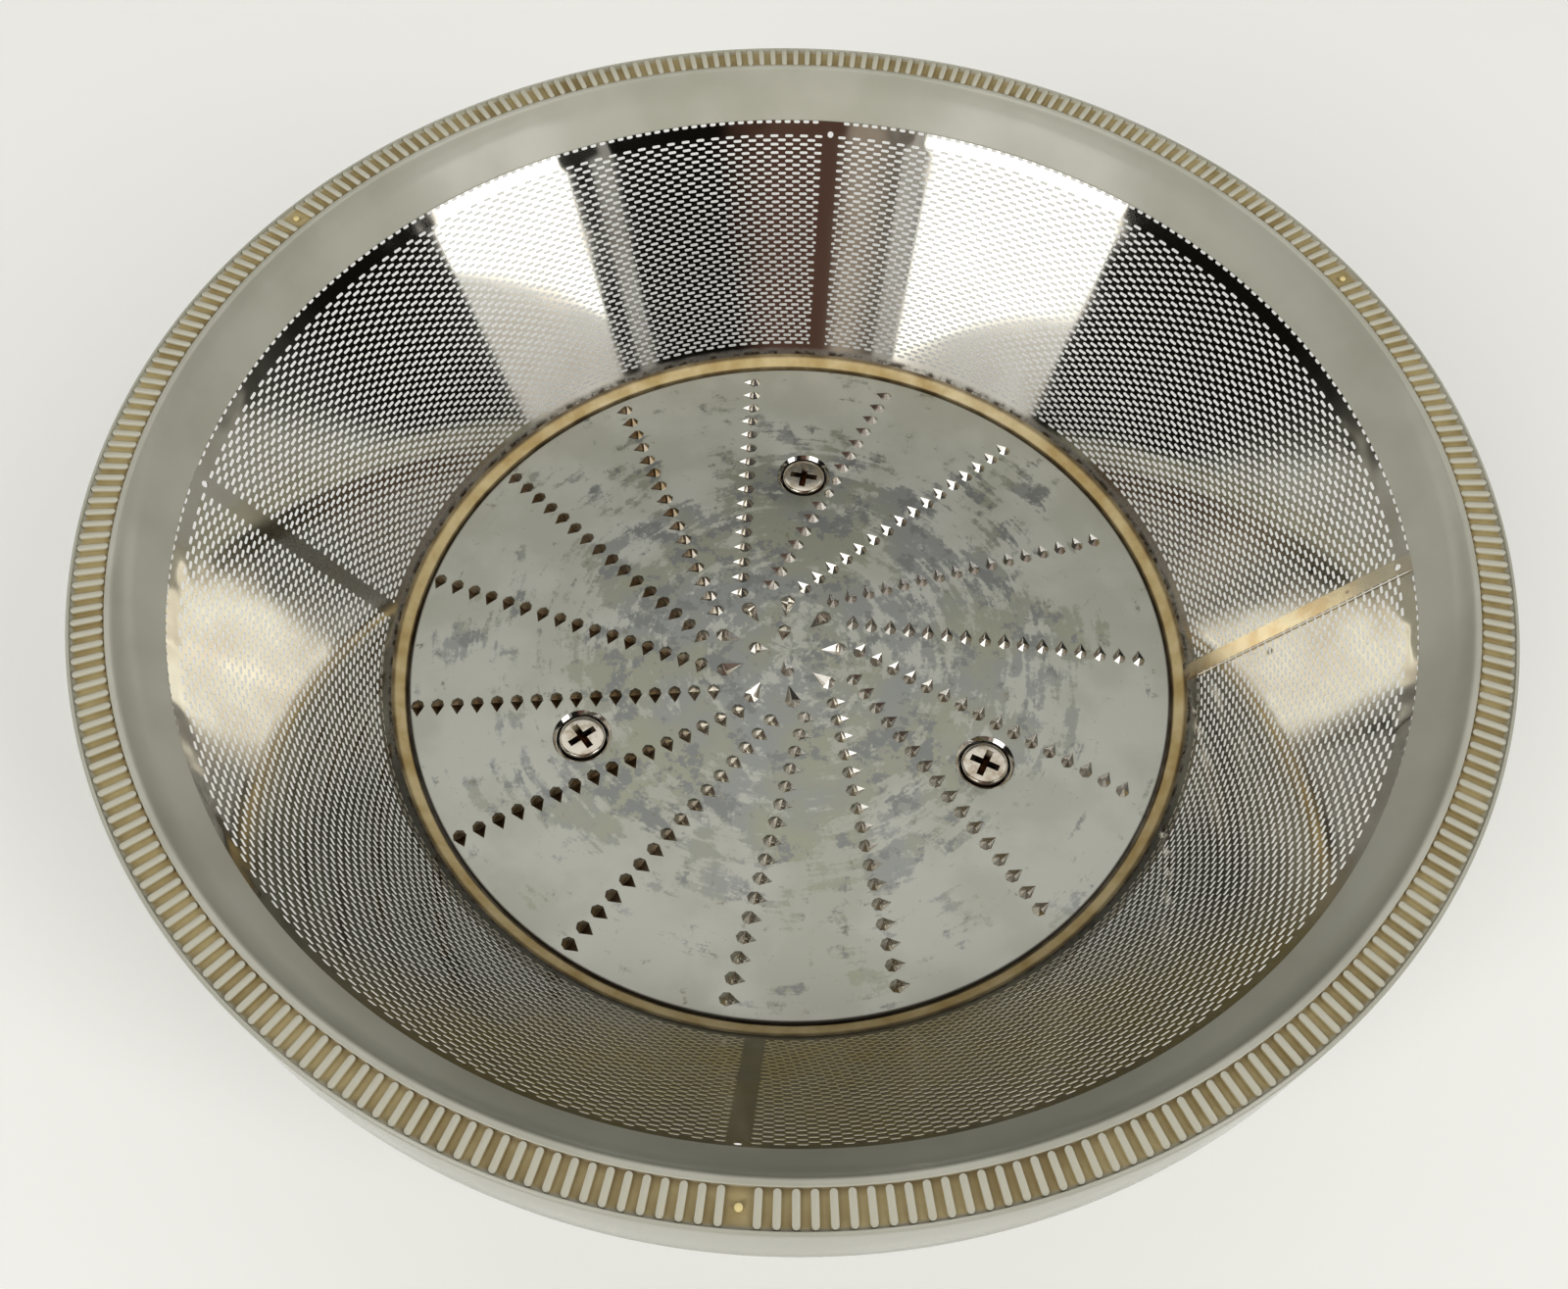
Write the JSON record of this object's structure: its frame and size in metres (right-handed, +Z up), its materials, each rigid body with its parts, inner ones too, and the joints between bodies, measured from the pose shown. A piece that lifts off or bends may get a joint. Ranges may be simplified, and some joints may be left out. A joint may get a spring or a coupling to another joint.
{
  "type": "juicer strainer basket",
  "caption": "Spinning strainer basket of a centrifugal juicer: ribbed moulded rim, perforated steel cone, and a toothed grating disc screwed to a base with a drive bush.",
  "frame": {"origin": "centre of the foot ring's lower face, on the spin axis", "axes": "+Z up along the spin axis towards the open mouth, +X towards the strainer's lapped seam"},
  "size_m": [0.16, 0.16, 0.048],
  "materials": {
    "rim_plastic": "moulded warm grey plastic with a soft gloss, stained tan between the track's ribs",
    "strainer_steel": "thin polished stainless sheet with rows of fine slots",
    "base_plastic": "moulded plastic, stained tan",
    "disc_steel": "satin stainless plate with dull residue and bright punched teeth",
    "screw_steel": "nickel-plated steel",
    "insert_brass": "plain brass",
    "bush_steel": "turned steel"
  },
  "bodies": {
    "root": {"rim_ring": "rim_plastic", "strainer_cone": "strainer_steel", "base_carrier": "base_plastic", "grater_disc": "disc_steel", "drive_bush": "bush_steel", "screw_1": "screw_steel", "thread_insert_1": "insert_brass", "screw_2": "screw_steel", "thread_insert_2": "insert_brass", "screw_3": "screw_steel", "thread_insert_3": "insert_brass"}
  },
  "joints": []
}
